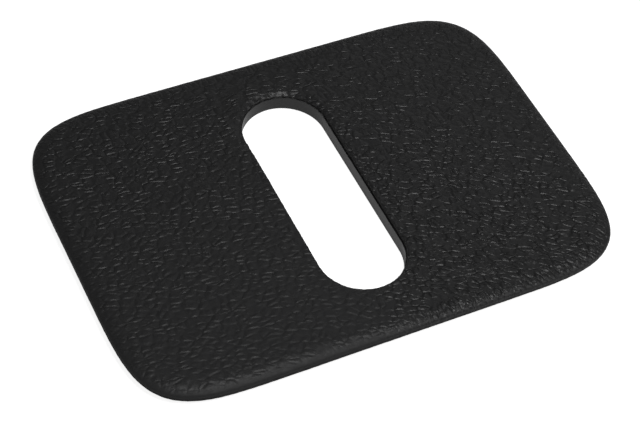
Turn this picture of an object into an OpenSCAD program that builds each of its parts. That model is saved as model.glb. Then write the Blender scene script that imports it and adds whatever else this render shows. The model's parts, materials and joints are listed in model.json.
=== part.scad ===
// Flat armrest pad with a slot through its middle.
// A stiff carrier plate and a thin foam sheet are wrapped in one piece of grained leather, which turns
// under all round and ends in a glued hem. A smooth moulded liner finishes the slot, a felt sheet fills
// the underside inside the hem, and four threaded inserts take the screws that hold the pad to its arm.
// Millimetres. The origin is at the middle of the underside, +X runs along the long side, +Z is up.

/* [Pad] */
// Length of the finished pad
pad_length = 140; // [132:1:180]
// Width of the finished pad
pad_width = 100; // [98:1:120]
// Thickness of the finished pad
pad_thickness = 5.4; // [5.2:0.1:7.0]
// How far each corner's curve reaches along the sides
corner_reach = 45; // [20:1:45]
// Squareness of the corner curve, where 2 is a circular arc
corner_power = 4.8; // [2:0.1:6]

/* [Edge] */
// Height of the widest part of the rounded edge
edge_height = 3.6; // [2.0:0.1:3.8]
// How far the edge's upper curve runs in over the top
edge_top_inset = 4.7; // [2.0:0.1:5.0]
// How far the edge's lower curve runs in under the pad
edge_bottom_inset = 3.3; // [1.5:0.1:4.0]

/* [Leather] */
// Thickness of the leather on the top and sides
leather_thickness = 1.1; // [0.8:0.1:1.2]
// Thickness of the leather where it is skived for the hem
hem_thickness = 0.7; // [0.5:0.1:0.8]
// Distance from the pad's edge to the hem's cut end
hem_reach = 9; // [7:0.5:10]
// How far the leather's cut edge stands back from the slot, on each side
leather_setback = 0.3; // [0.05:0.05:0.5]
// Break of the leather's upper edge at the slot
leather_edge_break = 0.4; // [0.2:0.05:0.5]

/* [Foam] */
// Thickness of the foam sheet
foam_thickness = 0.9; // [0.5:0.1:1.0]
// Gap between the foam and the liner's rim
foam_clearance = 0.3; // [0.1:0.05:0.6]

/* [Slot] */
// Length of the open slot
slot_length = 70.5; // [50:0.5:72]
// Width of the open slot
slot_width = 23.7; // [16:0.1:30]
// Wall thickness of the slot liner
liner_wall = 1.2; // [0.8:0.1:1.6]
// How far the liner's foot reaches out under the carrier
liner_foot = 2.5; // [2.0:0.1:4.0]
// How far the liner's snap rim stands out over the carrier
liner_snap = 0.35; // [0.2:0.05:0.5]
// Bevel at the foot of the slot wall
liner_bevel = 0.35; // [0.2:0.05:0.5]
// Gap between the liner and the carrier
liner_clearance = 0.05; // [0.02:0.01:0.1]

/* [Felt] */
// Gap between the felt and what surrounds it
felt_gap = 0.3; // [0.1:0.1:0.6]
// Radius of the felt's opening at each insert
felt_opening_radius = 4.0; // [3.8:0.1:5.0]

/* [Threaded inserts] */
// Distance between the inserts along the pad
insert_spacing_x = 100; // [80:1:104]
// Distance between the inserts across the pad
insert_spacing_y = 60; // [40:1:64]
// Radius of the insert's bore, the core radius of an M4 thread
insert_bore_radius = 1.65; // [1.25:0.05:1.65]
// Outer radius of the insert's knurled body
insert_radius = 2.8; // [2.5:0.1:3.0]
// Radius of the insert's flange
insert_flange_radius = 3.5; // [3.2:0.1:3.7]
// Length of the insert
insert_length = 2.2; // [1.6:0.1:2.2]
// Thickness of the insert's flange
insert_flange = 0.5; // [0.4:0.1:0.6]
// Number of ribs in the insert's knurl
insert_ribs = 24; // [16:2:32]

/* [Hidden] */
$fn = 96;

glue = 0.05;                                   // glue line between the leather and what it wraps
corner_points = 14;                            // outline points in each corner
overshoot = 1;                                 // how far a cut runs past the face it opens
leather_under = pad_thickness - leather_thickness;
foam_top = leather_under - glue;
carrier_top = foam_top - foam_thickness;
carrier_bottom = hem_thickness;
rib_depth = 0.25;                              // height of the insert's knurl ribs
insert_seat = insert_length + 0.1;             // depth of the carrier's blind hole for an insert
flange_clearance = 0.05;                       // room round the insert's flange in its counterbore
edge_angles_up = [for (a = [90:-15:0]) a];     // round the upper curve, from the top to the widest part
edge_angles_down = [for (a = [15:15:90]) a];   // round the lower curve, on to the underside

// ---- Outlines ----

// Closed ring of points at height z: a rectangle whose corners follow |x|^power + |y|^power = reach^power.
function ring(size_x, size_y, reach, power, z) = [
    for (corner = [0:3], i = [0:corner_points - 1])
        let (
            a = 90 * i / (corner_points - 1),
            turned = corner % 2 == 1,
            c = pow(cos(turned ? 90 - a : a), 2 / power),
            s = pow(sin(turned ? 90 - a : a), 2 / power),
            sx = corner == 0 || corner == 3 ? 1 : -1,
            sy = corner < 2 ? 1 : -1
        )
        [sx * (size_x / 2 - reach + reach * c), sy * (size_y / 2 - reach + reach * s), z]
];

// The pad's outline moved in by inset, at height z.
function pad_ring(inset, z) =
    ring(pad_length - 2 * inset, pad_width - 2 * inset, corner_reach - inset, corner_power, z);

// The slot's outline moved out by grow, at height z.
function slot_ring(grow, z) =
    ring(slot_width + 2 * grow, slot_length + 2 * grow, slot_width / 2 + grow, 2, z);

function flat(points) = [for (p = points) [p.x, p.y]];

// Inset and height round the rounded edge, with the leather's outer face at depth 0.
function edge_up(a, wall, top) = [
    wall + (edge_top_inset - wall) * (1 - cos(a)),
    edge_height + (top - edge_height) * sin(a)
];
function edge_down(a, wall, bottom) = [
    wall + (edge_bottom_inset - wall) * (1 - cos(a)),
    edge_height - (edge_height - bottom) * sin(a)
];

// Inset of the wrapped core's side at height z.
function core_inset(z) =
    let (
        up = z > edge_height,
        span = up ? leather_under - edge_height : edge_height - hem_thickness,
        reach = (up ? edge_top_inset : edge_bottom_inset) - leather_thickness,
        share = min(1, abs(z - edge_height) / span)
    )
    leather_thickness + glue + reach * (1 - sqrt(1 - share * share));

// ---- Builders ----

// Solid whose cross-section is a closed loop of rings, each with the same number of points. The loop runs
// up the slot side, out over the top, down the outer edge and back underneath.
module ring_solid(rings) {
    count = len(rings[0]);
    polyhedron(
        points = [for (r = rings, p = r) p],
        faces = [
            for (k = [0:len(rings) - 1], i = [0:count - 1])
                let (
                    k2 = (k + 1) % len(rings),
                    i2 = (i + 1) % count,
                    a = k * count + i,
                    b = k * count + i2,
                    c = k2 * count + i2,
                    d = k2 * count + i
                )
                each [[a, b, c], [a, c, d]]
        ],
        convexity = 6
    );
}

// The slot's outline moved out by grow, as a flat shape with true arcs.
module slot_shape(grow) {
    straight = slot_length - slot_width;
    square([slot_width + 2 * grow, straight], center = true);
    for (side = [-1, 1])
        translate([0, side * straight / 2])
            circle(r = slot_width / 2 + grow);
}

// Sweeps a flat profile, drawn as distance out from the slot's wall against height, round the slot.
module sweep_round_slot() {
    straight = slot_length - slot_width;
    for (side = [0, 180])
        rotate([0, 0, side]) {
            translate([0, straight / 2, 0])
                rotate_extrude(angle = 180)
                    translate([slot_width / 2, 0])
                        children();
            translate([slot_width / 2, straight / 2, 0])
                rotate([90, 0, 0])
                    linear_extrude(straight)
                        children();
        }
}

module at_inserts() {
    for (x = [-1, 1], y = [-1, 1])
        translate([x * insert_spacing_x / 2, y * insert_spacing_y / 2, 0])
            children();
}

// ---- Pieces ----

// One skin: top, rounded edge and hem.
module leather_cover() {
    outside = [
        for (a = edge_angles_up) edge_up(a, 0, pad_thickness),
        for (a = edge_angles_down) edge_down(a, 0, 0)
    ];
    inside = [
        for (a = [90:-15:0]) edge_down(a, leather_thickness, hem_thickness),
        for (a = [15:15:90]) edge_up(a, leather_thickness, leather_under)
    ];
    color("#1b1b1b")
        ring_solid([
            slot_ring(leather_setback, leather_under),
            slot_ring(leather_setback, pad_thickness - leather_edge_break),
            slot_ring(leather_setback + leather_edge_break, pad_thickness),
            for (p = outside) pad_ring(p[0], p[1]),
            pad_ring(hem_reach, 0),
            pad_ring(hem_reach, hem_thickness),
            for (p = inside) pad_ring(p[0], p[1])
        ]);
}

// Thin foam sheet that softens the top.
module foam_layer() {
    hole = liner_wall + liner_snap + foam_clearance;
    steps = 4;
    color("#3a3a3c")
        ring_solid([
            slot_ring(hole, carrier_top),
            slot_ring(hole, foam_top),
            for (k = [0:steps])
                let (z = foam_top - k * foam_thickness / steps)
                pad_ring(core_inset(z), z)
        ]);
}

// Stiff moulded plate that everything is glued to.
module carrier_plate() {
    hole = liner_wall + liner_clearance;
    steps = 8;
    rise = carrier_top - carrier_bottom;
    color("#26272a")
        difference() {
            ring_solid([
                slot_ring(hole, carrier_bottom),
                slot_ring(hole, carrier_top),
                for (k = [0:steps])
                    let (z = carrier_top - k * rise / steps)
                    pad_ring(core_inset(z), z)
            ]);
            at_inserts() {
                translate([0, 0, carrier_bottom - overshoot])
                    cylinder(r = insert_radius, h = insert_seat + overshoot);
                translate([0, 0, carrier_bottom - overshoot])
                    cylinder(r = insert_flange_radius + flange_clearance, h = insert_flange + overshoot);
            }
        }
}

// Smooth moulded ring that finishes the slot wall. Its foot lies flush with the felt, and its snap rim
// holds it on the carrier.
module slot_liner() {
    snap_height = 0.5;
    color("#2e2f31")
        sweep_round_slot()
            polygon([
                [liner_bevel, 0],
                [liner_foot, 0],
                [liner_foot, carrier_bottom],
                [liner_wall, carrier_bottom],
                [liner_wall, carrier_top],
                [liner_wall + liner_snap, carrier_top],
                [liner_wall, carrier_top + snap_height],
                [liner_wall, foam_top],
                [0, foam_top],
                [0, liner_bevel]
            ]);
}

// Felt sheet inside the hem, open at the liner's foot and at the inserts.
module backing_felt() {
    color("#232425")
        linear_extrude(hem_thickness)
            difference() {
                polygon(flat(pad_ring(hem_reach + felt_gap, 0)));
                slot_shape(liner_foot + felt_gap);
                at_inserts()
                    circle(r = felt_opening_radius);
            }
}

// One knurled insert, mouth down.
module insert() {
    difference() {
        union() {
            cylinder(r = insert_flange_radius, h = insert_flange);
            linear_extrude(insert_length)
                polygon([
                    for (i = [0:2 * insert_ribs - 1])
                        let (r = insert_radius - (i % 2) * rib_depth, a = 180 * i / insert_ribs)
                        [r * cos(a), r * sin(a)]
                ]);
        }
        translate([0, 0, -overshoot])
            cylinder(r = insert_bore_radius, h = insert_length + 2 * overshoot);
    }
}

module threaded_inserts() {
    color("#b08d3e")
        at_inserts()
            translate([0, 0, carrier_bottom])
                insert();
}

leather_cover();
foam_layer();
carrier_plate();
slot_liner();
backing_felt();
threaded_inserts();
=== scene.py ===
import json
import math

import bpy
import numpy as np
from mathutils import Matrix, Vector, noise
from mathutils.geometry import delaunay_2d_cdt


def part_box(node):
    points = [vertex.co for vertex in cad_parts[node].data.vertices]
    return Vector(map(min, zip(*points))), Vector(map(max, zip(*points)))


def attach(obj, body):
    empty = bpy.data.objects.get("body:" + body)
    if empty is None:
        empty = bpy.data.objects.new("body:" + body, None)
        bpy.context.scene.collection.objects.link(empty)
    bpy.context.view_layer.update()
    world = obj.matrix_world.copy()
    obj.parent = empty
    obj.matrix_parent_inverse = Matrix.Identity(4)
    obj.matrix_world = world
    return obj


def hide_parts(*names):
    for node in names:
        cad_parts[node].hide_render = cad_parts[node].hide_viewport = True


# Looks of a slotted leather armrest pad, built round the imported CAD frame. The leather cover, the felt,
# the foam and the inserts are built here, and the slot liner and the carrier plate keep their CAD shapes.
# Shapes are worked out in millimetres and written to the meshes in metres.

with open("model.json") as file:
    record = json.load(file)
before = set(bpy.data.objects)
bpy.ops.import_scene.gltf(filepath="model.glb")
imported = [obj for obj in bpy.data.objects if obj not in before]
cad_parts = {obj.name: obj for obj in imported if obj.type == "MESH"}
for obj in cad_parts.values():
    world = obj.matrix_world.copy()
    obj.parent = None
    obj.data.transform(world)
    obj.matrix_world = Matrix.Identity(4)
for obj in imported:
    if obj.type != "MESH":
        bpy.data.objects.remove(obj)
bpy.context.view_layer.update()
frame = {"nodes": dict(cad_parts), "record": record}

MM = 0.001

# ---- Sizes, in millimetres: the pad's and the slot's come from the frame, the rest from the design ----


def box_mm(node):
    """A CAD node's lowest and highest corners."""
    low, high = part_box(node)
    return np.array(low) / MM, np.array(high) / MM


def mount(name):
    """One of the record's mounts."""
    return next(m for m in frame["record"]["mounts"] if m["name"] == name)


pad_low, pad_high = box_mm("leather_cover")
PAD_LENGTH, PAD_WIDTH, PAD_THICKNESS = pad_high - pad_low
SLOT_RADIUS = mount("slot")["dims"]["hole_r_mm"]
SLOT_LENGTH = mount("slot")["dims"]["slot_length_mm"]
FELT_TOP = box_mm("backing_felt")[1][2]

# The pad's superelliptical outline, and its side, which is widest at EDGE_HEIGHT and rounds in to the top
# and the underside.
CORNER_REACH = 45.0
CORNER_POWER = 4.8
EDGE_HEIGHT = 3.6
EDGE_TOP_INSET = 4.7
EDGE_BOTTOM_INSET = 3.3
TOP_REACH = CORNER_REACH - EDGE_TOP_INSET

# Thicknesses, and how far the hem reaches in from the outline.
LEATHER = 1.1
GLUE = 0.05
HEM_THICKNESS = FELT_TOP
HEM_REACH = 9.0

# The hem's pleats: the least and the most space between them, width and depth. They start past that share
# of the way under, and gather where the outline turns.
PLEAT_SPACING = (2.6, 4.4)
PLEAT_WIDTH = (0.4, 0.7)
PLEAT_DEPTH = (0.3, 0.55)
PLEATS_START = 0.55
PLEAT_GATHER = 1.6

# The share of the grain's relief that is left between those two lengths over the edge, and at the hem's end,
# and how much the hem settles where it lies lowest.
EDGE_STRETCH = (2, 6)
EDGE_RELIEF = 0.45
HEM_RELIEF = 0.7
SETTLE = 0.05
SETTLE_HEIGHT = 0.6

# The leather's lip at the slot: rounded over for most of its way round, and pulled down at its far end into
# a slope that eases in from the top. Its rings are given by their reach from the cut edge, and the whole
# window is a little off the slot's middle.
LIP_SETBACK = 0.3
LIP_SHIFT = np.array([0.15, 0.2])
LIP_REACH = 1.8
LIP_RINGS = (1.5, 1.2, 0.95, 0.7, 0.5, 0.34, 0.2, 0.1, 0.03, 0.0)
LIP_ROUND = 0.6
LIP_DROP = 0.4
LIP_SLOPE = 0.55
LIP_EASE = 0.15
SLOPE_ROUND = 0.3
SLOPE_DROP = 0.2

# Where the lip becomes its far end, along the pad's width, and its right side, along the length. It is
# rumpled there, and less so towards the top. The grain's relief is smoothed near the cut edge, and most at
# the far end.
FAR_END = (15, 30)
RIGHT_SIDE = (5, 10)
FAR_RUMPLE = 0.35
RIGHT_RUMPLE = 0.28
RUMPLE_SIZE = 0.9
RUMPLE_REACH = 0.3
RUMPLE_AT_TOP = 0.3
LIP_SMOOTHING = 0.1
FAR_SMOOTHING = 0.5

# The felt keeps that gap from the hem and the liner's foot, and has an opening round each insert. The foam's
# slot is wider than the liner's.
FELT_GAP = 0.3
FELT_OPENING_RADIUS = 4.0
LINER_FOOT = 2.5
FOAM_SLOT_GROW = 1.85

# The brass inserts, with an M4 thread.
INSERT_RADIUS = 2.8
INSERT_FLANGE_RADIUS = 3.5
INSERT_FLANGE = 0.5
INSERT_RIBS = 24
RIB_DEPTH = 0.25
THREAD_PITCH = 0.7
THREAD_DEPTH = 0.35

# Length of the cover's mesh edges, and round the slot.
MESH_STEP = 0.48
SLOT_STEP = 0.4

# The cover's material slots.
GRAIN_SLOT = 0
CUT_SLOT = 1


# ---- Outlines ----


class Outline:
    """A closed outline of points that keep their places round it while it grows or shrinks: each is a fixed
    centre plus a reach along a fixed direction."""

    def __init__(self, centres, directions):
        self.centres = centres
        self.directions = directions

    def at(self, reach):
        """The outline's points at that reach."""
        return self.centres + reach * self.directions


def walked_lengths(points):
    """Length walked along a polyline to each of its points."""
    return np.concatenate([[0], np.cumsum(np.linalg.norm(np.diff(points, axis=0), axis=1))])


def rounded_outline(half_x, half_y, reach, power, step):
    """A rectangle with superelliptical corners, its points about step apart."""
    angles = np.linspace(0, math.pi / 2, 400)
    arc = np.column_stack([np.cos(angles) ** (2 / power), np.sin(angles) ** (2 / power)])
    centres = []
    directions = []
    for quarter in range(4):
        sign = np.array([(1, 1), (-1, 1), (-1, -1), (1, -1)][quarter])
        corner = arc if quarter % 2 == 0 else arc[::-1]
        centre = (np.array([half_x, half_y]) - reach) * sign
        centres.append(np.repeat(centre[None], len(corner), axis=0))
        directions.append(corner * sign)
    centres = np.vstack(centres)
    directions = np.vstack(directions)
    closed_centres = np.vstack([centres, centres[:1]])
    closed_directions = np.vstack([directions, directions[:1]])
    lengths = walked_lengths(closed_centres + reach * closed_directions)
    count = int(round(lengths[-1] / step))
    places = np.arange(count) * lengths[-1] / count

    def even(values):
        """The values at even places along the outline."""
        return np.column_stack([np.interp(places, lengths, values[:, k]) for k in (0, 1)])

    return Outline(even(closed_centres), even(closed_directions))


PAD_OUTLINE = rounded_outline(PAD_LENGTH / 2, PAD_WIDTH / 2, CORNER_REACH, CORNER_POWER, MESH_STEP)
SLOT_OUTLINE = rounded_outline(SLOT_RADIUS, SLOT_LENGTH / 2, SLOT_RADIUS, 2, SLOT_STEP)


def outside_slot(points, grow):
    """True for the points more than grow outside the slot's wall."""
    straight = SLOT_LENGTH / 2 - SLOT_RADIUS
    past = np.maximum(np.abs(points[:, 1]) - straight, 0)
    return np.hypot(points[:, 0], past) > SLOT_RADIUS + grow


def inside_pad(points, inset):
    """True for the points more than inset inside the pad's outline."""
    reach = CORNER_REACH - inset
    past_x = np.maximum(np.abs(points[:, 0]) - (PAD_LENGTH / 2 - CORNER_REACH), 0) / reach
    past_y = np.maximum(np.abs(points[:, 1]) - (PAD_WIDTH / 2 - CORNER_REACH), 0) / reach
    return past_x**CORNER_POWER + past_y**CORNER_POWER < 1


# ---- Mesh building ----


def lattice(step):
    """Points of an even triangular lattice over the whole pad."""
    rise = step * math.sqrt(3) / 2
    rows = int(PAD_WIDTH / rise)
    columns = int(PAD_LENGTH / step)
    grid_y, grid_x = np.meshgrid(np.arange(rows), np.arange(columns), indexing="ij")
    x = (grid_x + 0.5 * (grid_y % 2) - columns / 2) * step
    y = (grid_y - rows / 2) * rise
    return np.column_stack([x.ravel(), y.ravel()])


def fill_between(loops, inner_points):
    """Triangles that fill the space inside the first loop and outside the others. Returns the points, the
    loops' first, and the triangles, facing up."""
    points = np.vstack([*loops, inner_points])
    edges = []
    start = 0
    owner = np.full(len(points), -1)
    for index, loop in enumerate(loops):
        count = len(loop)
        edges += [(start + i, start + (i + 1) % count) for i in range(count)]
        owner[start : start + count] = index
        start += count
    inside_first = 1
    made = delaunay_2d_cdt([Vector(p) for p in points], edges, [], inside_first, 1e-7)
    original = np.array([v[0] for v in made[3]])
    triangles = original[np.array(made[2])]
    owners = owner[triangles]
    in_hole = (owners[:, 0] > 0) & (owners[:, 0] == owners[:, 1]) & (owners[:, 0] == owners[:, 2])
    triangles = triangles[~in_hole]
    assert len(made[0]) == len(points)
    return points, triangles


class Shell:
    """Collects points and faces, then makes one mesh object of them."""

    def __init__(self):
        self.points = []
        self.grain = []
        self.wrap = []
        self.relief = []
        self.lift = []
        self.faces = []
        self.slots = []
        self.count = 0

    def add_points(self, points, grain=None, wrap=(0.0, 0.0), relief=0.0, lift=0.0):
        """Adds points and returns their numbers. With each go its place on the flat hide, its place round
        and over the edge, how strongly it takes the grain's relief, and how far it is lifted besides."""
        start = self.count
        self.points.append(points)
        self.grain.append(points[:, :2] if grain is None else grain)
        self.wrap.append(np.broadcast_to(np.asarray(wrap, float), (len(points), 2)))
        self.relief.append(np.broadcast_to(np.asarray(relief, float), (len(points),)))
        self.lift.append(np.broadcast_to(np.asarray(lift, float), (len(points),)))
        self.count += len(points)
        return start + np.arange(len(points))

    def add_faces(self, faces, slot=0):
        """Adds faces, given as points' numbers, with a material slot."""
        self.faces += [tuple(int(i) for i in face) for face in faces]
        self.slots += [slot] * len(faces)

    def bridge(self, lower, upper, slot=0):
        """Joins two rings of the same length with quads."""
        next_lower = np.roll(lower, -1)
        next_upper = np.roll(upper, -1)
        self.add_faces(np.column_stack([lower, next_lower, next_upper, upper]), slot)

    def make(self, name):
        """Makes the mesh object, in metres, with its UV maps and point attributes."""
        points = np.vstack(self.points) * MM
        mesh = bpy.data.meshes.new(name)
        mesh.from_pydata(points.tolist(), [], self.faces)
        mesh.polygons.foreach_set("material_index", self.slots)
        corners = np.empty(len(mesh.loops), np.int32)
        mesh.loops.foreach_get("vertex_index", corners)
        for layer, places in (("grain", self.grain), ("wrap", self.wrap)):
            mesh.uv_layers.new(name=layer).data.foreach_set("uv", np.vstack(places)[corners].ravel())
        for layer, values in (("relief", self.relief), ("lift", self.lift)):
            made = mesh.attributes.new(layer, "FLOAT", "POINT")
            made.data.foreach_set("value", np.concatenate(values))
        mesh.validate()
        mesh.shade_smooth()
        piece = bpy.data.objects.new(name, mesh)
        bpy.context.collection.objects.link(piece)
        return piece


def at_height(flat, z):
    """The flat points, lifted to height z."""
    return np.column_stack([flat, np.broadcast_to(z, (len(flat),))])


def even_profile(points, step):
    """A polyline's points about step apart, with the length walked to each."""
    points = np.array(points)
    lengths = walked_lengths(points)
    count = max(2, int(round(lengths[-1] / step)))
    places = np.linspace(0, lengths[-1], count + 1)
    return np.column_stack([np.interp(places, lengths, points[:, k]) for k in (0, 1)]), places


# ---- Node trees ----


class Tree:
    """Short calls for adding nodes to a material's or a modifier's node tree."""

    def __init__(self, tree):
        self.tree = tree

    def node(self, kind, **settings):
        """A new node with those settings."""
        made = self.tree.nodes.new(kind)
        for name, value in settings.items():
            setattr(made, name, value)
        return made

    def put(self, socket, value):
        """Links the value to the socket where it is another node's output, and sets it otherwise."""
        if isinstance(value, bpy.types.NodeSocket):
            self.tree.links.new(value, socket)
        else:
            socket.default_value = value

    def operate(self, made, values, output):
        """The node's output, with the values put in its inputs in order."""
        for socket, value in zip(made.inputs, values):
            self.put(socket, value)
        return made.outputs[output]

    def math(self, operation, *values):
        return self.operate(self.node("ShaderNodeMath", operation=operation), values, "Value")

    def vector_math(self, operation, *values):
        return self.operate(self.node("ShaderNodeVectorMath", operation=operation), values, "Vector")

    def product(self, first, *others):
        for other in others:
            first = self.math("MULTIPLY", first, other)
        return first

    def total(self, first, *others):
        for other in others:
            first = self.math("ADD", first, other)
        return first

    def parts(self, vector):
        """The vector's X, Y and Z."""
        made = self.node("ShaderNodeSeparateXYZ")
        self.put(made.inputs[0], vector)
        return made.outputs["X"], made.outputs["Y"], made.outputs["Z"]

    def noise(self, vector, scale, detail=2.0, output="Fac"):
        """A smooth noise, from 0 to 1, with scale features to the vector's unit."""
        made = self.node("ShaderNodeTexNoise")
        self.put(made.inputs["Vector"], vector)
        made.inputs["Scale"].default_value = scale
        made.inputs["Detail"].default_value = detail
        return made.outputs[output]

    def scaled(self, vector, factor):
        made = self.node("ShaderNodeVectorMath", operation="SCALE")
        self.put(made.inputs[0], vector)
        self.put(made.inputs["Scale"], factor)
        return made.outputs[0]

    def warp(self, vector, scale, amount, detail=1.0):
        """The vector pushed about by a noise, up to about half of amount each way."""
        push = self.noise(vector, scale, detail, "Color")
        push = self.vector_math("SUBTRACT", push, (0.5, 0.5, 0.5))
        return self.vector_math("ADD", vector, self.scaled(push, amount))

    def turned(self, vector, angle):
        """The vector turned about the Z axis."""
        made = self.node("ShaderNodeVectorRotate", rotation_type="Z_AXIS")
        self.put(made.inputs["Vector"], vector)
        self.put(made.inputs["Angle"], angle)
        return made.outputs[0]

    def ramp(self, value, low, high, to_low=0.0, to_high=1.0, kind="SMOOTHSTEP"):
        """A smooth change from to_low to to_high as the value goes from low to high, level beyond them."""
        made = self.node("ShaderNodeMapRange", interpolation_type=kind)
        for name, setting in (
            ("Value", value),
            ("From Min", low),
            ("From Max", high),
            ("To Min", to_low),
            ("To Max", to_high),
        ):
            self.put(made.inputs[name], setting)
        return made.outputs[0]

    def line(self, value, low, high, to_low=0.0, to_high=1.0):
        """A ramp with an even slope."""
        return self.ramp(value, low, high, to_low, to_high, "LINEAR")

    def cells(self, vector, scale):
        """Distance from the nearest border of a cell pattern."""
        made = self.node("ShaderNodeTexVoronoi", voronoi_dimensions="2D", feature="DISTANCE_TO_EDGE")
        self.put(made.inputs["Vector"], vector)
        made.inputs["Scale"].default_value = scale
        return made.outputs["Distance"]

    def uv_place(self, layer):
        """The place in a UV map, which holds millimetres."""
        return self.node("ShaderNodeUVMap", uv_map=layer).outputs[0]

    def object_place(self):
        """The place on the object, in millimetres."""
        return self.scaled(self.node("ShaderNodeTexCoord").outputs["Object"], 1 / MM)

    def attribute(self, name, kind):
        """A point attribute, in a modifier's tree."""
        made = self.node("GeometryNodeInputNamedAttribute", data_type=kind)
        made.inputs["Name"].default_value = name
        return made.outputs["Attribute"]


# ---- The leather's grain and relief ----

# The grain's pebbles are this long and wide, with a finer grain among them. They lie at an angle that
# changes along the pad's length, and their lines wander: slowly by a lot, and quickly by a little.
PEBBLE = (3.0, 1.7, 1.0)
FINE_GRAIN = 1.8
TURN_ACROSS = (-30.0, 55.0)
TURN_LEFT = math.radians(15)
TURN_RIGHT = math.radians(36)
WANDERS = ((0.07, 5.0), (0.4, 1.0))

# Heights of the pebbles and of the slow unevenness in the mesh's relief, and how far both sink in.
PEBBLE_HEIGHT = 0.1
UNEVENNESS = 0.16
SINK = 0.14


def grain_cells(tree, place):
    """Distances from the creases of the leather's grain, in pebbles: from the main creases, and from the
    fine ones. place is the point on the flat hide, in millimetres."""
    bent = place
    for scale, amount in WANDERS:
        bent = tree.warp(bent, scale, amount)
    x, _, _ = tree.parts(place)
    turn = tree.ramp(x, *TURN_ACROSS, TURN_LEFT, TURN_RIGHT)
    pebbles = tree.vector_math("DIVIDE", tree.turned(bent, turn), PEBBLE)
    return tree.cells(pebbles, 1.0), tree.cells(pebbles, FINE_GRAIN)


def leather_domes(tree, place):
    """The relief that the mesh carries: low domes between soft creases, and a slow unevenness."""
    main, _ = grain_cells(tree, place)
    patchy = tree.line(tree.noise(place, 0.11), 0.3, 0.7, 0.6, 1.0)
    domes = tree.product(tree.ramp(main, 0.0, 0.34), patchy, PEBBLE_HEIGHT)
    slow = tree.product(tree.noise(place, 0.05, 1.0), UNEVENNESS)
    return tree.total(domes, tree.math("SUBTRACT", slow, SINK))


def add_relief(piece, height):
    """Pushes the piece's surface out along its normals by height, in millimetres, which is a function of a
    Tree and the place on the hide, and by the points' own lift. The mesh keeps the result."""
    group = bpy.data.node_groups.new("relief", "GeometryNodeTree")
    group.interface.new_socket("Geometry", in_out="INPUT", socket_type="NodeSocketGeometry")
    group.interface.new_socket("Geometry", in_out="OUTPUT", socket_type="NodeSocketGeometry")
    tree = Tree(group)
    start = tree.node("NodeGroupInput")
    end = tree.node("NodeGroupOutput")
    place = tree.attribute("grain", "FLOAT_VECTOR")
    lift = tree.product(height(tree, place), tree.attribute("relief", "FLOAT"))
    lift = tree.product(tree.total(lift, tree.attribute("lift", "FLOAT")), MM)
    normal = tree.node("GeometryNodeInputNormal").outputs[0]
    move = tree.node("GeometryNodeSetPosition")
    tree.put(move.inputs["Geometry"], start.outputs[0])
    tree.put(move.inputs["Offset"], tree.scaled(normal, lift))
    tree.put(end.inputs[0], move.outputs[0])
    modifier = piece.modifiers.new("relief", "NODES")
    modifier.node_group = group
    done = piece.evaluated_get(bpy.context.evaluated_depsgraph_get())
    mesh = bpy.data.meshes.new_from_object(done)
    piece.modifiers.clear()
    piece.data = mesh
    bpy.data.node_groups.remove(group)


# ---- Materials ----

# Each finish's two colours, which a pattern mixes.
# The leather's second colour is painted shade, put in the grain's deep creases.
LEATHER_AND_CREASE_SHADE_COLORS = ((0.0195, 0.0195, 0.02), (0.004, 0.004, 0.004))
# The cut edge's first colour is partly its dye and partly painted shade, put between its raised fibres.
CUT_EDGE_COLORS = ((0.01, 0.01, 0.01), (0.035, 0.034, 0.033))
# The felt's first colour is painted shade, put between its strands.
FELT_COLORS = ((0.007, 0.007, 0.008), (0.036, 0.036, 0.038))
# The foam's first colour is painted shade, put in its cells' hollows.
FOAM_COLORS = ((0.02, 0.02, 0.022), (0.06, 0.06, 0.064))
BRASS_COLORS = ((0.5, 0.34, 0.12), (0.66, 0.48, 0.2))
LINER_BLACK = (0.008, 0.008, 0.0085)
PLATE_BLACK = (0.02, 0.02, 0.021)
FLOOR_WHITE = (0.9, 0.9, 0.9)
PLASTIC_SHADE = 0.85

# The roughness that a mottling spreads between.
LEATHER_ROUGHNESS = (0.34, 0.42)
BRASS_ROUGHNESS = (0.22, 0.42)
MOTTLE = (0.3, 0.7)

# Depths of the bumps, in millimetres.
CREASE_DEPTH = 0.22
FAINT_CREASE_DEPTH = 0.03
FINE_CREASE_DEPTH = 0.06
PUCKER_DEPTH = 0.11
EDGE_BULGE = 0.04
PORE_DEPTH = 0.008
CUT_FIBRE_DEPTH = 0.12
TOOL_MARK_DEPTH = 0.004
STRAND_DEPTH = 0.05
CELL_DEPTH = 0.08
BRASS_MARK_DEPTH = 0.01

# Where the hide turns from slack to taut: along the pad's length, and along its width, where some slack is
# left at the far side.
SLACK_ACROSS = (-12.0, 12.0)
SLACK_ALONG = (-40.0, 30.0)
FAR_SLACK = 0.25

# Creases' strength: on the steep sides, where the hide is pulled tightest, where it is taut and where it is
# slack. It tightens over that distance, in that direction on the flat hide.
STEEP_STRENGTH = 0.15
TIGHT_STRENGTH = 0.62
TAUT_STRENGTH = 1.1
SLACK_STRENGTH = 0.5
TIGHTER_TOWARDS = (0.6, 0.8, 0.0)
TIGHTER_OVER = 45.0
RIGHT_LIP = (4.0, 9.0)

# How the puckers stretch over the edge, and their strength where the hide is taut and slack.
FOLD_STRETCH = (0.6, 0.2, 0.0)
TAUT_PUCKERS = 1.2
SLACK_PUCKERS = 0.1

# The felt's strands lie in three directions, and are long, thin and flat.
STRAND_TURNS = (0.3, 1.4, 2.4)
STRAND_STRETCH = (0.55, 5.5, 2.0)


def new_material(name, **sockets):
    """A material, its Tree and its Principled shader, with those sockets set."""
    material = bpy.data.materials.new(name)
    material.use_nodes = True
    shader = material.node_tree.nodes["Principled BSDF"]
    for socket, value in sockets.items():
        shader.inputs[socket.replace("_", " ")].default_value = value
    return material, Tree(material.node_tree), shader


def bump(tree, shader, height):
    """Adds a bump whose height is in millimetres."""
    made = tree.node("ShaderNodeBump")
    made.inputs["Distance"].default_value = MM
    tree.put(made.inputs["Height"], height)
    tree.put(shader.inputs["Normal"], made.outputs[0])


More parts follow.
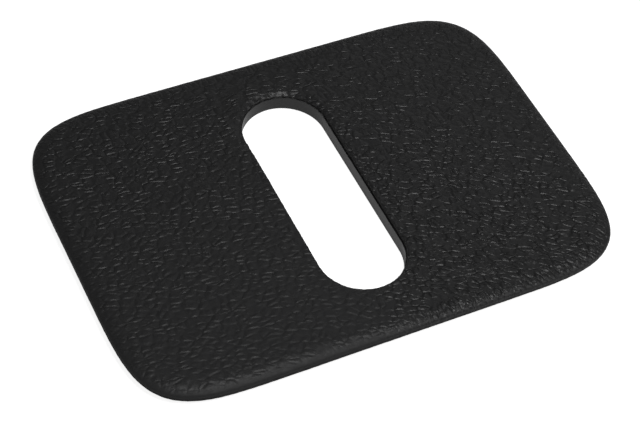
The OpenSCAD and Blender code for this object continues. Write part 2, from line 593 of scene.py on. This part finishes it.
def paint(tree, shader, factor, colors):
    """Colours the shader from the first to the second colour as the factor goes from 0 to 1."""
    first, second = colors
    made = tree.node("ShaderNodeMix", data_type="RGBA")
    tree.put(made.inputs["Factor"], factor)
    made.inputs["A"].default_value = (*first, 1)
    made.inputs["B"].default_value = (*second, 1)
    tree.put(shader.inputs["Base Color"], made.outputs["Result"])


def hide_slack(tree, place):
    """How slack the hide is, from 0 to 1: most at the near left of the pad, and not at all on its right."""
    x, y, _ = tree.parts(place)
    return tree.product(tree.ramp(x, *SLACK_ACROSS, 1.0, 0.0), tree.line(y, *SLACK_ALONG, 1.0, FAR_SLACK))


def crease_strength(tree, place, over, lies_flat, slack):
    """How strongly the creases show. They weaken where the hide bends round an edge, towards the pad's far
    right, where it is pulled tight, and where it is slack. On the slot's right lip they stay strong."""
    x, _, _ = tree.parts(place)
    flat = tree.ramp(tree.math("ABSOLUTE", lies_flat), 0.8, 0.985, STEEP_STRENGTH, 1.0)
    on_lip = tree.product(tree.ramp(over, 0.0, 0.5, 1.0, 0.0), tree.ramp(x, *RIGHT_LIP))
    across = tree.node("ShaderNodeVectorMath", operation="DOT_PRODUCT")
    across = tree.operate(across, (place, TIGHTER_TOWARDS), "Value")
    tight = tree.ramp(across, 0.0, TIGHTER_OVER, 1.0, TIGHT_STRENGTH)
    by_slack = tree.line(slack, 0.0, 1.0, TAUT_STRENGTH, SLACK_STRENGTH)
    return tree.product(tree.math("MAXIMUM", flat, on_lip), tight, by_slack)


def leather_puckers(tree, wrap, over, slack):
    """Small folds across the pad's edge, weaker where the hide is slack."""
    folds = tree.warp(tree.vector_math("MULTIPLY", wrap, FOLD_STRETCH), 1.0, 0.5)
    depth = tree.line(tree.cells(folds, 1.0), 0.02, 0.25, 0.0, PUCKER_DEPTH)
    by_slack = tree.line(slack, 0.0, 1.0, TAUT_PUCKERS, SLACK_PUCKERS)
    return tree.product(depth, tree.ramp(over, 0.0, 2.0), by_slack)


def leather_material():
    """Black grained hide: creases of uneven depth between smooth pebbles, fine creases and pores, and
    puckers at the edge. The deep creases carry painted shade, and the hide is duller where it is slack and
    at the hem."""
    material, tree, shader = new_material("black_grained_leather")
    shader.distribution = "GGX"
    place = tree.uv_place("grain")
    wrap = tree.uv_place("wrap")
    _, over, _ = tree.parts(wrap)
    _, _, lies_flat = tree.parts(tree.node("ShaderNodeNewGeometry").outputs["Normal"])
    main, fine = grain_cells(tree, place)
    slack = hide_slack(tree, place)
    strength = crease_strength(tree, place, over, lies_flat, slack)

    deep = tree.line(tree.noise(place, 0.35), 0.38, 0.58)
    depth = tree.product(tree.line(deep, 0.0, 1.0, FAINT_CREASE_DEPTH, CREASE_DEPTH), strength)
    width = tree.line(slack, 0.0, 1.0, 0.2, 0.34)
    creases = tree.product(tree.line(main, 0.02, width), depth)
    fine_depth = tree.line(tree.noise(place, 0.3), 0.5, 0.64, 0.0, FINE_CREASE_DEPTH)
    fine_creases = tree.product(tree.line(fine, 0.02, 0.2), tree.product(fine_depth, strength))
    bulge = tree.ramp(lies_flat, 0.8, 0.98, EDGE_BULGE, 0.0)
    pores = tree.product(tree.noise(place, 3.0), PORE_DEPTH)
    puckers = leather_puckers(tree, wrap, over, slack)
    bump(tree, shader, tree.total(creases, fine_creases, bulge, pores, puckers))

    # Painted shade: the deep creases are coloured towards near black, for the shade that falls in them.
    in_crease = tree.ramp(main, 0.01, 0.09, 1.0, 0.0)
    crease_shade = tree.product(in_crease, strength, tree.ramp(deep, 0.2, 1.0, 0.0, 0.9))
    paint(tree, shader, crease_shade, LEATHER_AND_CREASE_SHADE_COLORS)

    rough = tree.line(tree.noise(place, 0.8, 3.0), *MOTTLE, *LEATHER_ROUGHNESS)
    duller = tree.product(slack, tree.ramp(lies_flat, 0.9, 0.99, 0.2, 0.1))
    facing_down = tree.ramp(lies_flat, -0.3, 0.3, 0.6, 0.0)
    on_side = tree.ramp(lies_flat, -0.98, -0.7)
    tree.put(shader.inputs["Roughness"], tree.total(rough, duller, tree.product(facing_down, on_side)))
    return material


def cut_edge_material():
    """The leather's cut edge: dyed fibres, duller than the grain, with painted shade between the raised
    fibres.
    """
    material, tree, shader = new_material("dyed_cut_edge_fibre_shade", Roughness=0.7)
    fibres = tree.noise(tree.object_place(), 2.2, 5.0)
    bump(tree, shader, tree.product(fibres, CUT_FIBRE_DEPTH))
    # Painted shade: the dyed cut edge is coloured darker where its fibres lie low.
    paint(tree, shader, fibres, CUT_EDGE_COLORS)
    return material


def satin_plastic(name, color, roughness, **sockets):
    """Smooth moulded plastic with a slightly uneven gloss and a fine tool texture."""
    material, tree, shader = new_material(name, **sockets)
    place = tree.object_place()
    bump(tree, shader, tree.product(tree.noise(place, 4.0, 3.0), TOOL_MARK_DEPTH))
    mottle = tree.noise(place, 0.4, 3.0)
    tree.put(shader.inputs["Roughness"], tree.ramp(mottle, *MOTTLE, roughness - 0.04, roughness + 0.05))
    shade = tuple(PLASTIC_SHADE * channel for channel in color)
    paint(tree, shader, mottle, (shade, color))
    return material


def felt_material():
    """Pressed felt: strands that lie over each other, with painted shade between them."""
    sheen = {"Sheen_Weight": 0.3, "Sheen_Roughness": 0.5}
    material, tree, shader = new_material("pressed_felt", Roughness=0.95, **sheen)
    place = tree.object_place()
    fibres = 0.0
    for turn in STRAND_TURNS:
        strands = tree.turned(tree.warp(place, 0.9, 1.6), turn)
        strands = tree.noise(tree.vector_math("MULTIPLY", strands, STRAND_STRETCH), 1.0)
        fibres = tree.math("MAXIMUM", fibres, strands)
    lofty = tree.ramp(fibres, 0.45, 0.75)
    bump(tree, shader, tree.product(lofty, STRAND_DEPTH))
    # Painted shade: the felt is coloured darker where its strands lie low.
    paint(tree, shader, lofty, FELT_COLORS)
    return material


def foam_material():
    """Closed-cell foam: fine cells on a matt skin, with painted shade in the cells' hollows."""
    material, tree, shader = new_material("closed_cell_foam", Roughness=0.85)
    cells = tree.node("ShaderNodeTexVoronoi")
    tree.put(cells.inputs["Vector"], tree.object_place())
    cells.inputs["Scale"].default_value = 4.0
    hollow = tree.ramp(cells.outputs["Distance"], 0.0, 0.6)
    bump(tree, shader, tree.product(hollow, CELL_DEPTH))
    # Painted shade: the foam is coloured darker towards the sunken middle of each cell.
    paint(tree, shader, hollow, FOAM_COLORS)
    return material


def brass_material():
    """Turned brass, handled and unevenly bright."""
    material, tree, shader = new_material("turned_brass", Metallic=1.0)
    place = tree.object_place()
    mottle = tree.noise(place, 1.5, 4.0)
    tree.put(shader.inputs["Roughness"], tree.ramp(mottle, *MOTTLE, *BRASS_ROUGHNESS))
    paint(tree, shader, mottle, BRASS_COLORS)
    bump(tree, shader, tree.product(tree.noise(place, 6.0), BRASS_MARK_DEPTH))
    return material


# ---- The leather cover ----


def edge_profile():
    """The cover's outer profile from the top, round the edge and under to the hem's cut end, as inset and
    height."""
    down = [
        (EDGE_TOP_INSET * (1 - math.cos(a)), EDGE_HEIGHT + (PAD_THICKNESS - EDGE_HEIGHT) * math.sin(a))
        for a in np.radians(np.arange(90, -1, -3))
    ]
    under = [
        (EDGE_BOTTOM_INSET * (1 - math.cos(a)), EDGE_HEIGHT * (1 - math.sin(a)))
        for a in np.radians(np.arange(3, 91, 3))
    ]
    return down + under + [(HEM_REACH, 0.0)]


def lining_profile():
    """The cover's inner profile, from the hem's cut end, up inside the edge to the top's underside."""
    profile = [(HEM_REACH, HEM_THICKNESS)]
    for a in np.radians(np.arange(90, -1, -15)):
        inset = LEATHER + (EDGE_BOTTOM_INSET - LEATHER) * (1 - math.cos(a))
        profile.append((inset, EDGE_HEIGHT - (EDGE_HEIGHT - HEM_THICKNESS) * math.sin(a)))
    for a in np.radians(np.arange(15, 91, 15)):
        inset = LEATHER + (EDGE_TOP_INSET - LEATHER) * (1 - math.cos(a))
        profile.append((inset, EDGE_HEIGHT + (PAD_THICKNESS - LEATHER - EDGE_HEIGHT) * math.sin(a)))
    return profile


def arc_lengths(outline):
    """Length walked round the pad's outline to each of its points."""
    points = outline.at(CORNER_REACH)
    steps = np.linalg.norm(points - np.roll(points, 1, axis=0), axis=1)
    steps[0] = 0
    return np.cumsum(steps)


def pleat_depths(places, turning):
    """Depth of the hem's pleats at each place round the pad. They gather the hide's spare length where the
    outline turns, which turning says from 0 to 1."""
    rng = np.random.default_rng(7)
    depths = np.zeros(len(places))
    at = 0.0
    while at < places[-1]:
        at += rng.uniform(*PLEAT_SPACING)
        width = rng.uniform(*PLEAT_WIDTH)
        depth = np.interp(at, places, turning) * rng.uniform(*PLEAT_DEPTH)
        depths += depth * np.exp(-(((places - at) / width) ** 2))
    return np.minimum(depths, PLEAT_DEPTH[1])


def rounded_drop(reach, radius, drop):
    """Drop of a rounded edge at reach from its end: none beyond radius, and drop at the end."""
    return drop * (1 - math.sqrt(1 - max(0, 1 - reach / radius) ** 2))


def lip_drops(reach, slump):
    """How far the lip lies below the top at reach from its cut edge: rounded over where slump is 0, and
    pulled down into a slope where it is 1."""
    rounded = rounded_drop(reach, LIP_ROUND, LIP_DROP)
    run = max(0, LIP_REACH - LIP_EASE - reach)
    slope = LIP_SLOPE * run * run / (run + LIP_EASE) + rounded_drop(reach, SLOPE_ROUND, SLOPE_DROP)
    return rounded + slump * (slope - rounded)


def lip_outline(reach):
    """The leather's window at the slot, at reach from its cut edge."""
    return SLOT_OUTLINE.at(SLOT_RADIUS + LIP_SETBACK + reach) + LIP_SHIFT


def add_top(shell):
    """The flat top. Returns its rings at the pad's edge and at the slot's lip."""
    edge = PAD_OUTLINE.at(TOP_REACH)
    lip = lip_outline(LIP_REACH)
    inner = lattice(MESH_STEP)
    room = 0.6 * MESH_STEP
    clear = outside_slot(inner - LIP_SHIFT, LIP_SETBACK + LIP_REACH + room)
    flat, triangles = fill_between([edge, lip], inner[inside_pad(inner, EDGE_TOP_INSET + room) & clear])
    top = shell.add_points(at_height(flat, PAD_THICKNESS), relief=1.0)
    shell.add_faces(top[triangles])
    return top[: len(edge)], top[len(edge) : len(edge) + len(lip)]


def add_outside(shell, ring):
    """Carries the hide from the top's ring round the edge and under to the hem's end, and returns its last
    ring. The grain's relief is weaker round the edge, and the hem is pleated and settles."""
    places = arc_lengths(PAD_OUTLINE)
    turning = np.clip(PLEAT_GATHER * PAD_OUTLINE.directions.prod(axis=1) ** 2, 0, 1)
    pleats = pleat_depths(places, turning)
    profile, walked = even_profile(edge_profile(), MESH_STEP)
    end = walked[-1]
    for (inset, z), length in list(zip(profile, walked))[1:]:
        grain = PAD_OUTLINE.at(TOP_REACH + length)
        wrap = np.column_stack([places, np.full(len(places), length)])
        relief = np.interp(length, [0, *EDGE_STRETCH, end], [1, EDGE_RELIEF, EDGE_RELIEF, HEM_RELIEF])
        gather = np.interp(length, [PLEATS_START * end, end], [0, 1])
        settle = np.interp(z, [0, SETTLE_HEIGHT], [SETTLE, 0])
        points = at_height(PAD_OUTLINE.at(CORNER_REACH - inset), z)
        added = shell.add_points(points, grain, wrap, relief, -gather * pleats - settle)
        shell.bridge(added, ring)
        ring = added
    return ring


def add_lining(shell, ring):
    """Carries the hem's end back up inside the cover, and returns the last ring, under the top's edge."""
    for inset, z in lining_profile():
        added = shell.add_points(at_height(PAD_OUTLINE.at(CORNER_REACH - inset), z))
        shell.bridge(added, ring, CUT_SLOT)
        ring = added
    return ring


def add_lip(shell, ring):
    """Carries the top's ring at the slot over the lip and down its cut edge, and returns the last ring. The
    far end slumps, and the hide is rumpled there and on the right."""
    for reach in LIP_RINGS:
        flat = lip_outline(reach)
        slump = np.interp(flat[:, 1], FAR_END, [0, 1])
        rumpled = np.maximum(FAR_RUMPLE * slump, np.interp(flat[:, 0], RIGHT_SIDE, [0, RIGHT_RUMPLE]))
        rumpled *= np.interp(reach, [RUMPLE_REACH, LIP_REACH], [1, RUMPLE_AT_TOP])
        lift = [push * noise.noise(Vector((x, y, 0)) / RUMPLE_SIZE) for push, (x, y) in zip(rumpled, flat)]
        relief = 1 - (LIP_SMOOTHING + FAR_SMOOTHING * slump) * (1 - reach / LIP_REACH)
        points = at_height(flat, PAD_THICKNESS - lip_drops(reach, slump))
        added = shell.add_points(points, relief=relief, lift=lift)
        shell.bridge(ring, added, CUT_SLOT if reach == 0 else GRAIN_SLOT)
        ring = added
    cut = shell.add_points(at_height(lip_outline(0), PAD_THICKNESS - LEATHER))
    shell.bridge(ring, cut, CUT_SLOT)
    return cut


def build_leather():
    """The cover: one closed hide over the top, round the edge and under to the hem, with the window."""
    shell = Shell()
    edge, lip = add_top(shell)
    lining = add_lining(shell, add_outside(shell, edge))
    cut = add_lip(shell, lip)
    _, triangles = fill_between([PAD_OUTLINE.at(TOP_REACH), lip_outline(0)], np.empty((0, 2)))
    shell.add_faces(np.concatenate([lining, cut])[triangles[:, ::-1]], CUT_SLOT)

    cover = shell.make("leather_cover_grained")
    cover.data.materials.append(leather_material())
    cover.data.materials.append(cut_edge_material())
    add_relief(cover, leather_domes)
    cover.data.set_sharp_from_angle(angle=math.radians(50))
    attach(cover, "root")
    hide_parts("leather_cover")


# ---- The other pieces ----


def insert_places():
    """Middles of the inserts' mouths, from the frame's bolt pattern."""
    dims = mount("fixing_inserts")["dims"]
    half_x = dims["spacing_x_mm"] / 2
    half_y = dims["spacing_y_mm"] / 2
    return [np.array([x, y]) for x in (-half_x, half_x) for y in (-half_y, half_y)]


def circle(radius, count):
    """Points evenly round a circle about the origin."""
    angles = np.arange(count) * 2 * math.pi / count
    return np.column_stack([np.cos(angles), np.sin(angles)]) * radius


def wander(points, scale, amount, seed):
    """A smooth random shift for each point, in millimetres."""
    return np.array([amount * noise.noise(Vector((x / scale, y / scale, seed))) for x, y in points])


def loop_area(loop):
    """Area inside a closed loop."""
    following = np.roll(loop, -1, axis=0)
    return abs(np.sum(loop[:, 0] * following[:, 1] - loop[:, 1] * following[:, 0])) / 2


def felt_loops(shrink):
    """The felt's outline, its slot and its openings round the inserts, with the sheet shrunk by shrink."""
    outer = PAD_OUTLINE.at(CORNER_REACH - HEM_REACH - FELT_GAP - shrink)
    slot = SLOT_OUTLINE.at(SLOT_RADIUS + LINER_FOOT + FELT_GAP + shrink)
    rim = circle(1, 48)
    return [outer, slot, *(place + (FELT_OPENING_RADIUS + shrink) * rim for place in insert_places())]


def felt_lattice(step, clear):
    """Points over the felt, more than clear inside all its loops."""
    points = lattice(step)
    keep = inside_pad(points, HEM_REACH + FELT_GAP + clear)
    keep &= outside_slot(points, LINER_FOOT + FELT_GAP + clear)
    for place in insert_places():
        keep &= np.linalg.norm(points - place, axis=1) > FELT_OPENING_RADIUS + clear
    return points[keep]


def build_felt():
    """The felt sheet, with an uneven underside and soft, ragged cut edges."""
    low, high = box_mm("backing_felt")
    step = 0.8
    rounding = 0.12
    ragged = 0.12
    shell = Shell()
    flat, triangles = fill_between(felt_loops(rounding), felt_lattice(step, rounding + 0.5 * step))
    under = low[2] + 0.03 + wander(flat, 1.7, 0.05, 1.0)
    bottom = shell.add_points(at_height(flat, np.maximum(under, low[2])))
    shell.add_faces(bottom[triangles[:, ::-1]])
    top = shell.add_points(at_height(flat, high[2] - 0.02))
    shell.add_faces(top[triangles])
    start = 0
    for cut, loop in zip(felt_loops(0.0), felt_loops(rounding)):
        rim = np.arange(start, start + len(loop))
        pulled_in = np.abs(wander(cut, 0.7, ragged, 2.0))[:, None] * (loop - cut) / rounding
        lower = shell.add_points(at_height(cut + pulled_in, low[2] + 0.2))
        upper = shell.add_points(at_height(cut + pulled_in, high[2] - 0.15))
        rings = [bottom[rim], lower, upper, top[rim]]
        if start > 0:
            rings.reverse()
        for first, second in zip(rings, rings[1:]):
            shell.bridge(first, second)
        start += len(loop)

    felt = shell.make("backing_felt_sheet")
    felt.data.materials.append(felt_material())
    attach(felt, "root")
    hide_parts("backing_felt")
    outline, *holes = (loop_area(loop) for loop in felt_loops(0.0))


def edge_inset_at(z):
    """Inset of the wrapped core's side at height z."""
    up = z > EDGE_HEIGHT
    span = PAD_THICKNESS - LEATHER - EDGE_HEIGHT if up else EDGE_HEIGHT - HEM_THICKNESS
    reach = (EDGE_TOP_INSET if up else EDGE_BOTTOM_INSET) - LEATHER
    share = min(1, abs(z - EDGE_HEIGHT) / span)
    return LEATHER + GLUE + reach * (1 - math.sqrt(1 - share * share))


def build_foam():
    """The foam sheet, with dimpled faces and cut edges that bulge a little halfway up."""
    low, high = box_mm("foam_layer")
    step = 1.6
    bulge = 0.15
    dimple = 0.04
    heights = np.linspace(low[2], high[2], 5)
    rings = []
    for z in heights:
        pulled_in = bulge * (2 * (z - low[2]) / (high[2] - low[2]) - 1) ** 2
        outer = PAD_OUTLINE.at(CORNER_REACH - edge_inset_at(z) - pulled_in)[::2]
        slot = SLOT_OUTLINE.at(SLOT_RADIUS + FOAM_SLOT_GROW + pulled_in)[::2]
        rings.append((outer, slot))

    inner = lattice(step)
    clear = outside_slot(inner, FOAM_SLOT_GROW + bulge + step)
    inner = inner[inside_pad(inner, edge_inset_at(high[2]) + step) & clear]
    shell = Shell()
    ends = []
    for index, side in ((0, -1), (-1, 1)):
        outer, slot = rings[index]
        flat, triangles = fill_between([outer, slot], inner)
        z = heights[index] - side * (dimple - wander(flat, 3.0, dimple, 3.0))
        points = shell.add_points(at_height(flat, z))
        shell.add_faces(points[triangles] if side > 0 else points[triangles[:, ::-1]])
        ends.append((points[: len(outer)], points[len(outer) : len(outer) + len(slot)]))
    sides = [ends[0]]
    for z, (outer, slot) in list(zip(heights, rings))[1:-1]:
        sides.append((shell.add_points(at_height(outer, z)), shell.add_points(at_height(slot, z))))
    sides.append(ends[1])
    for (outer, slot), (next_outer, next_slot) in zip(sides, sides[1:]):
        shell.bridge(outer, next_outer)
        shell.bridge(next_slot, slot)

    foam = shell.make("foam_sheet")
    foam.data.materials.append(foam_material())
    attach(foam, "root")
    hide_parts("foam_layer")


def turned_ring(place, radius, angles, z):
    """A ring of points about an upright axis."""
    flat = place + np.column_stack([np.cos(angles), np.sin(angles)]) * np.reshape(radius, (-1, 1))
    return at_height(flat, z)


def insert_rings(angles, low_z, high_z, bore):
    """An insert's rings of radii and heights: out under the flange from the mouth, up the ribbed body, over
    the top and down the threaded bore."""
    wave = np.cos(INSERT_RIBS * angles)
    ribs = RIB_DEPTH / 2 * (1 - np.sign(wave) * np.abs(wave) ** 0.5)
    chamfer = 0.12
    burr = 0.05
    tip = 0.15
    body = INSERT_RADIUS - 0.02
    flange_top = low_z + INSERT_FLANGE
    rings = [
        (bore + THREAD_DEPTH + 0.1, low_z),
        (INSERT_FLANGE_RADIUS - chamfer, low_z),
        (INSERT_FLANGE_RADIUS, low_z + chamfer),
        (INSERT_FLANGE_RADIUS, flange_top - burr),
        (INSERT_FLANGE_RADIUS - burr, flange_top),
        (body - ribs, flange_top),
        (body - ribs, high_z - tip),
        (INSERT_RADIUS - 2 * tip, high_z),
        (bore + tip, high_z),
    ]
    mouth_flare = 0.35
    for z in np.arange(high_z - 0.05, low_z + 0.1, -THREAD_PITCH / 10):
        phase = (z / THREAD_PITCH - angles / (2 * math.pi)) % 1
        groove = THREAD_DEPTH * (1 - np.abs(2 * phase - 1))
        flare = max(0, low_z + mouth_flare - z)
        rings.append((np.maximum(bore + 0.02 + groove, bore + flare), z))
    return rings


def build_inserts():
    """The four brass inserts, with chamfered flanges, flared mouths, threads and ribbed bodies."""
    low, high = box_mm("threaded_inserts")
    bore = mount("fixing_inserts")["dims"]["hole_r_mm"]
    angles = np.arange(96) * 2 * math.pi / 96
    shell = Shell()
    for place in insert_places():
        rings = [
            shell.add_points(turned_ring(place, radius, angles, z))
            for radius, z in insert_rings(angles, low[2], high[2], bore)
        ]
        for first, second in zip(rings, rings[1:] + rings[:1]):
            shell.bridge(first, second)

    inserts = shell.make("brass_inserts")
    inserts.data.materials.append(brass_material())
    inserts.data.set_sharp_from_angle(angle=math.radians(35))
    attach(inserts, "root")
    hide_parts("threaded_inserts")


def repaint(node, material):
    """Gives a CAD node another material."""
    piece = frame["nodes"][node]
    piece.data.materials.clear()
    piece.data.materials.append(material)


# ---- Stage: camera, floor and lights ----

# The camera looks at the target from that side, in degrees, and that far off, in millimetres.
CAMERA_AZIMUTH = -31.11
CAMERA_ELEVATION = 50.01
CAMERA_ROLL = 7.31
CAMERA_TARGET = Vector((-2.06, -3.92, 0))
CAMERA_DISTANCE = 478.7
CAMERA_LENS = 100.7

FLOOR_SIZE = 6
FLOOR_GLOW = 0.85
SKY = 0.115

# Square soft boxes: name, direction from the pad, distance and side in metres, and power in watts.
LIGHTS = (
    ("key", (0.02, -0.38, 0.93), 0.45, 0.18, 0.68),
    ("rim", (0.6, 0.6, 0.5), 1.0, 0.6, 0.3),
    ("fill", (-0.8, -0.4, 0.4), 1.0, 0.5, 0.25),
    ("front", (0.58, -0.66, 0.5), 0.5, 0.25, 0.24),
)


def camera_axes(azimuth, elevation, roll):
    """Right, up and back of a camera on that side of the pad, in degrees. Azimuth 0 looks along +Y."""
    a, e, r = (math.radians(angle) for angle in (azimuth, elevation, roll))
    back = Vector((math.sin(a) * math.cos(e), -math.cos(a) * math.cos(e), math.sin(e)))
    right = (-back).cross(Vector((0, 0, 1))).normalized()
    up = right.cross(-back)
    return math.cos(r) * right + math.sin(r) * up, math.cos(r) * up - math.sin(r) * right, back


def make_camera():
    """A long lens at the pad's near left."""
    right, up, back = camera_axes(CAMERA_AZIMUTH, CAMERA_ELEVATION, CAMERA_ROLL)
    data = bpy.data.cameras.new("camera")
    data.sensor_width = 36
    data.lens = CAMERA_LENS
    data.clip_start = 0.01
    camera = bpy.data.objects.new("camera", data)
    place = (CAMERA_TARGET + CAMERA_DISTANCE * back) * MM
    camera.matrix_world = Matrix.Translation(place) @ Matrix((right, up, back)).transposed().to_4x4()
    bpy.context.collection.objects.link(camera)
    bpy.context.scene.camera = camera


def make_light(name, toward, distance, size, power):
    """A square soft box that shines at the pad from the direction toward."""
    data = bpy.data.lights.new(name, "AREA")
    data.shape = "SQUARE"
    data.size = size
    data.energy = power
    light = bpy.data.objects.new(name, data)
    toward = Vector(toward).normalized()
    light.location = distance * toward
    light.rotation_mode = "QUATERNION"
    light.rotation_quaternion = toward.to_track_quat("Z", "Y")
    bpy.context.collection.objects.link(light)


def make_stage():
    """A pale floor, which the camera sees almost white, a dim even sky and the lights."""
    bpy.ops.mesh.primitive_plane_add(size=FLOOR_SIZE)
    floor = bpy.context.object
    floor.name = "floor"
    white = (1, 1, 1, 1)
    material, tree, shader = new_material(
        "pale_floor", Base_Color=(*FLOOR_WHITE, 1), Roughness=0.9, Emission_Color=white
    )
    seen = tree.node("ShaderNodeLightPath").outputs["Is Camera Ray"]
    tree.put(shader.inputs["Emission Strength"], tree.product(seen, FLOOR_GLOW))
    floor.data.materials.append(material)
    world = bpy.data.worlds.new("studio")
    world.use_nodes = True
    world.node_tree.nodes["Background"].inputs["Color"].default_value = white
    world.node_tree.nodes["Background"].inputs["Strength"].default_value = SKY
    bpy.context.scene.world = world
    for light in LIGHTS:
        make_light(*light)
    bpy.context.scene.view_settings.view_transform = "Standard"


make_camera()
make_stage()
build_leather()
repaint("slot_liner", satin_plastic("satin_liner", LINER_BLACK, 0.13, IOR=1.75))
repaint("carrier_plate", satin_plastic("carrier_plastic", PLATE_BLACK, 0.55))
build_felt()
build_foam()
build_inserts()
